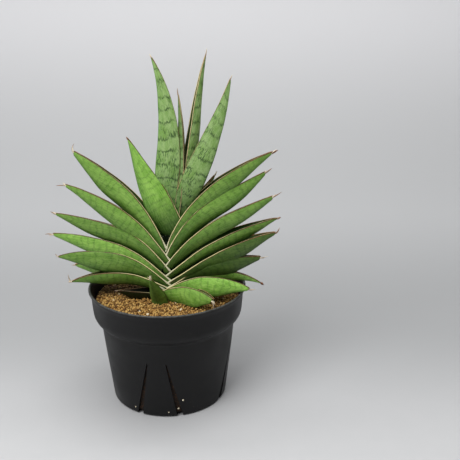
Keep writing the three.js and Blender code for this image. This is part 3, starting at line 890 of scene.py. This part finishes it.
def cut(piece, cutters):
    """Takes the cutters away from the piece, one after the other."""
    for cutter in cutters:
        modifier = piece.modifiers.new("cut", "BOOLEAN")
        modifier.object = cutter
        modifier.operation = "DIFFERENCE"
        modifier.solver = "EXACT"
    bpy.context.view_layer.update()
    cut_mesh = bpy.data.meshes.new_from_object(piece.evaluated_get(bpy.context.evaluated_depsgraph_get()))
    piece.modifiers.clear()
    piece.data = cut_mesh
    for cutter in cutters:
        bpy.data.objects.remove(cutter)


def add_pot():
    vertices, faces = lathe(pot_profile(), POT_SEGMENTS)
    pot = make_object("nursery_pot", (vertices * MM).tolist(), faces, pot_material())
    face_outwards(pot)
    cutters = []
    for pair in range(SLIT_PAIRS):
        for side in (LEFT, RIGHT):
            angle = SLIT_FIRST_PAIR + 360 / SLIT_PAIRS * pair + SLIT_TOP_ANGLE * side
            corners, sides = slit_cutter(angle, side)
            cutter = make_object("cutter", (np.array(corners) * MM).tolist(), sides)
            face_outwards(cutter)
            cutters.append(cutter)
    cut(pot, cutters)
    soften(pot, SHARPEST_TURN)
    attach(pot, "root")
    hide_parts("pot")


# Soil


def soil_material():
    shader = Shader("granules")
    tone = shader.attribute("tone")
    position = shader.position()
    blotch = shader.noise(position, scale=900, detail=3)
    pits = shader.noise(position, scale=3200, detail=2)
    ochre = shader.mix(shader.ramp(tone, 0.0, 0.45), colour("clay_dark"), colour("clay"))
    ochre = shader.mix(shader.ramp(tone, 0.5, 0.85), ochre, colour("clay_light"))
    ochre = shader.mix(shader.ramp(tone, 0.985, 0.995), ochre, colour("white_grain"))
    # Painted shade on the bed's sides inside the pot, where they show through the slits
    ochre = shader.mix(shader.ramp(tone, -0.6, -0.1, 1.0, 0.0), ochre, colour("painted_bed_shade"))
    ochre = shader.mix(shader.ramp(blotch, 0.4, 0.75, 0.0, 0.45), ochre, colour("clay_blotch"))
    # Painted shadow of the fan on the soil
    back = shader.part(position, "Y")
    under_leaves = shader.math("MULTIPLY", shader.ramp(back, *SHADE_STARTS, 0.0, 0.7),
                               shader.ramp(back, *SHADE_ENDS, 1.0, 0.1))
    ochre = shader.mix(under_leaves, ochre, colour("soil_shadow"))
    shader.set("Base Color", shader.mix(shader.ramp(pits, 0.56, 0.74, 0.0, 0.5), ochre, colour("clay_pit")))
    shader.set("Roughness", 0.94)
    shader.bump(pits, 0.00018, 0.8)
    return shader.material


def soil_height(x, y):
    """Height of the bed's surface, slightly domed and uneven."""
    distance = np.hypot(x, y) / (BAND_RADIUS - WALL)
    swell = ripple(3, x * SOIL_SWELL_TURNS, y * SOIL_SWELL_TURNS)
    return SOIL_EDGE + SOIL_DOME * (1 - distance ** 2) + SOIL_SWELL * swell


def granule_shapes():
    """A few lumpy pebbles of unit size, as vertices, and the faces that they share."""
    ball = bmesh.new()
    bmesh.ops.create_icosphere(ball, subdivisions=2, radius=1)
    base = np.array([v.co[:] for v in ball.verts])
    faces = np.array([[v.index for v in face.verts] for face in ball.faces])
    ball.free()
    shapes = []
    for kind in range(GRANULE_KINDS):
        lumps = random.normal(size=(GRANULE_LUMPS, 3))
        lumps /= np.linalg.norm(lumps, axis=1)[:, None]
        swell = 1 + 0.22 * (np.maximum(base @ lumps.T, 0) ** 2).sum(1) - 0.25
        swell += random.normal(scale=0.045, size=len(base))
        shapes.append(base * swell[:, None] * random.uniform(*GRANULE_STRETCH, 3))
    return shapes, faces


def scatter():
    """Centres of the granules, in a jittered hexagonal pattern over the bed, and how far each is lifted."""
    spots = []
    limit = BAND_RADIUS - WALL - 1.6
    rows = int(limit / (GRANULE_PITCH * HEXAGON_ROW)) + 1
    for row in range(-rows, rows + 1):
        for column in range(-rows - 4, rows + 5):
            x = (column + 0.5 * (row % 2)) * GRANULE_PITCH + random.uniform(-GRANULE_SHIFT, GRANULE_SHIFT)
            y = row * GRANULE_PITCH * HEXAGON_ROW + random.uniform(-GRANULE_SHIFT, GRANULE_SHIFT)
            lift = random.uniform(*GRANULE_LIFT)
            if math.hypot(x, y) < limit:
                spots.append((x, y, lift))
    return np.array(spots)


def place_granules(name, spots, shapes, faces, material):
    """One piece that holds the granules at the spots: centre, size and tone of each."""
    vertices, tones = [], []
    for x, y, z, size, tone in spots:
        turn, tip = random.uniform(0, 2 * math.pi, 2)
        spin = np.array([
            [math.cos(turn), -math.sin(turn), 0],
            [math.sin(turn), math.cos(turn), 0],
            [0, 0, 1],
        ])
        tilt = np.array([
            [1, 0, 0],
            [0, math.cos(tip), -math.sin(tip)],
            [0, math.sin(tip), math.cos(tip)],
        ])
        shape = shapes[random.integers(GRANULE_KINDS)] * size
        vertices.append(shape @ (tilt @ spin) + np.array([x, y, z]))
        tones.append(np.full(len(shape), tone))
    count = len(shapes[0])
    all_faces = np.concatenate([faces + count * index for index in range(len(spots))])
    piece = make_object(name, (np.concatenate(vertices) * MM).tolist(), all_faces.tolist(), material)
    store(piece, "tone", np.concatenate(tones))
    face_outwards(piece)
    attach(piece, "root")
    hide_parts("soil")


def add_granules(material):
    shapes, faces = granule_shapes()
    spots = []
    for x, y, lift in scatter():
        height = soil_height(x, y) + lift
        spots.append((x, y, height, random.uniform(*GRANULE_SIZE), random.uniform()))
    front = [spot for spot in spots if spot[1] < 0]
    back = [spot for spot in spots if spot[1] >= 0]
    place_granules("soil_granules_front", front, shapes, faces, material)
    place_granules("soil_granules_back", back, shapes, faces, material)
    stuck = []
    for x, z, size in STUCK_GRAINS:
        wall = mix(BASE_RADIUS, BODY_TOP_RADIUS, z / STEP_BOTTOM)
        stuck.append((x, -math.sqrt(wall ** 2 - x ** 2) + 0.5, z, size, 1.0))
    place_granules("stuck_grains", stuck, shapes, faces, material)


def add_bed(material):
    inside = WALL + 0.3
    top_ring = BAND_RADIUS - inside
    rings = np.linspace(top_ring, 2, 44)
    profile = [
        (0, FLOOR + 0.3),
        (BASE_RADIUS - inside - 1, FLOOR + 0.3),
        *[(mix(BASE_RADIUS, BODY_TOP_RADIUS, share) - inside, mix(FLOOR, STEP_BOTTOM, share))
          for share in np.linspace(0.04, 1, 26)],
        (top_ring, BAND_BOTTOM + 1),
        *[(radius, SOIL_EDGE) for radius in rings],
        (0, SOIL_EDGE),
    ]
    vertices, faces = lathe(profile, 128)
    top = vertices[:, 2] > SOIL_EDGE - 1
    vertices[top, 2] = soil_height(vertices[top, 0], vertices[top, 1]) - BED_BELOW_GRANULES
    bumps = random.normal(scale=BED_ROUGHNESS, size=len(vertices))
    vertices[top, 2] += bumps[top]
    piece = make_object("soil_bed", (vertices * MM).tolist(), faces, material)
    # The bed's sides take tone -1, which the material paints as shade inside the pot
    store(piece, "tone", np.where(top, random.uniform(0.0, 0.4, len(vertices)), -1.0))
    face_outwards(piece)
    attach(piece, "root")
    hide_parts("soil")


# Stem, which shows only between the leaf bases


def stem_material():
    shader = Shader("stem_tissue")
    position = shader.position()
    fibres = shader.noise(shader.scale(position, (900, 900, 60)), detail=2)
    blotch = shader.noise(position, scale=160, detail=3)
    pale = shader.mix(shader.ramp(fibres, 0.35, 0.65), colour("stem_dark"), colour("stem_pale"))
    pale = shader.mix(shader.ramp(blotch, 0.4, 0.7, 0.0, 0.6), pale, colour("stem_green"))
    top = shader.ramp(shader.part(position, "Z"), 0.114, 0.122)
    shader.set("Base Color", shader.mix(top, pale, colour("stem_top")))
    shader.set("Roughness", 0.7)
    shader.bump(fibres, 0.0003, 0.6)
    return shader.material


def finish_stem():
    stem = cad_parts["crown_stem"]
    stem.data.materials.clear()
    stem.data.materials.append(stem_material())


# Studio


def backdrop_material():
    """Pale paper, with painted shade greying the floor where it runs back to the bend, and painted light
    making it lighter up the wall.
    """
    shader = Shader("pale_paper")
    position = shader.position()
    tone = shader.noise(position, scale=60, detail=3)
    paper = shader.mix(tone, colour("paper_dark"), colour("paper"))
    back = shader.part(position, "Y")
    # Painted shade on the floor behind the pot, lifting again towards the bend
    paper = shader.mix(shader.ramp(back, -0.12, 0.12), paper, colour("paper_shade"))
    paper = shader.mix(shader.ramp(back, 0.15, 0.5, 0.0, 0.6), paper, colour("paper_bend"))
    # Painted light, lighter up the wall
    up = shader.ramp(shader.part(position, "Z"), 0.01, 0.3)
    shader.set("Base Color", shader.mix(up, paper, colour("paper_lit")))
    shader.set("Roughness", 0.9)
    return shader.material


def add_backdrop():
    """A floor that sweeps up into a wall far behind the plant."""
    bend_start = WALL_DISTANCE - BEND_RADIUS
    line = [(FLOOR_FRONT, 0), (0.2, 0)]
    line += [(bend_start + BEND_RADIUS * math.sin(turn), BEND_RADIUS - BEND_RADIUS * math.cos(turn))
             for turn in np.linspace(0, math.pi / 2, 24)]
    line += [(WALL_DISTANCE, BACKDROP_HEIGHT)]
    vertices = []
    for y, z in line:
        vertices += [(-BACKDROP_HALF_WIDTH, y, z), (BACKDROP_HALF_WIDTH, y, z)]
    faces = [(2 * i, 2 * i + 1, 2 * i + 3, 2 * i + 2) for i in range(len(line) - 1)]
    make_object("backdrop", vertices, faces, backdrop_material())


def add_softbox(name, spot, aim, size, power):
    lamp = bpy.data.lights.new(name, "AREA")
    lamp.shape = "RECTANGLE"
    lamp.size, lamp.size_y = size
    lamp.energy = power
    holder = bpy.data.objects.new(name, lamp)
    holder.location = spot
    holder.rotation_euler = (Vector(aim) - Vector(spot)).to_track_quat("-Z", "Y").to_euler()
    bpy.context.scene.collection.objects.link(holder)


def add_studio():
    add_backdrop()
    for light in LIGHTS:
        add_softbox(*light)
    world = bpy.data.worlds.new("studio")
    world.use_nodes = True
    background = world.node_tree.nodes["Background"]
    background.inputs["Color"].default_value = AMBIENT_TINT
    background.inputs["Strength"].default_value = AMBIENT_STRENGTH
    bpy.context.scene.world = world
    bpy.context.scene.view_settings.view_transform = "Standard"


def add_camera():
    lens = bpy.data.cameras.new("camera")
    lens.lens = CAMERA_LENS
    lens.sensor_width = SENSOR
    camera = bpy.data.objects.new("camera", lens)
    camera.location = CAMERA_SPOT
    camera.rotation_euler = (math.radians(90 - CAMERA_PITCH), 0, 0)
    bpy.context.scene.collection.objects.link(camera)
    bpy.context.scene.camera = camera


def main():
    add_camera()
    add_studio()
    materials = {True: leaf_material("young_leaf_skin", True), False: leaf_material("leaf_skin", False)}
    for index, leaf in enumerate(LEAVES):
        add_leaf(leaf, index, materials)
    add_pot()
    granules = soil_material()
    add_bed(granules)
    add_granules(granules)
    finish_stem()


main()
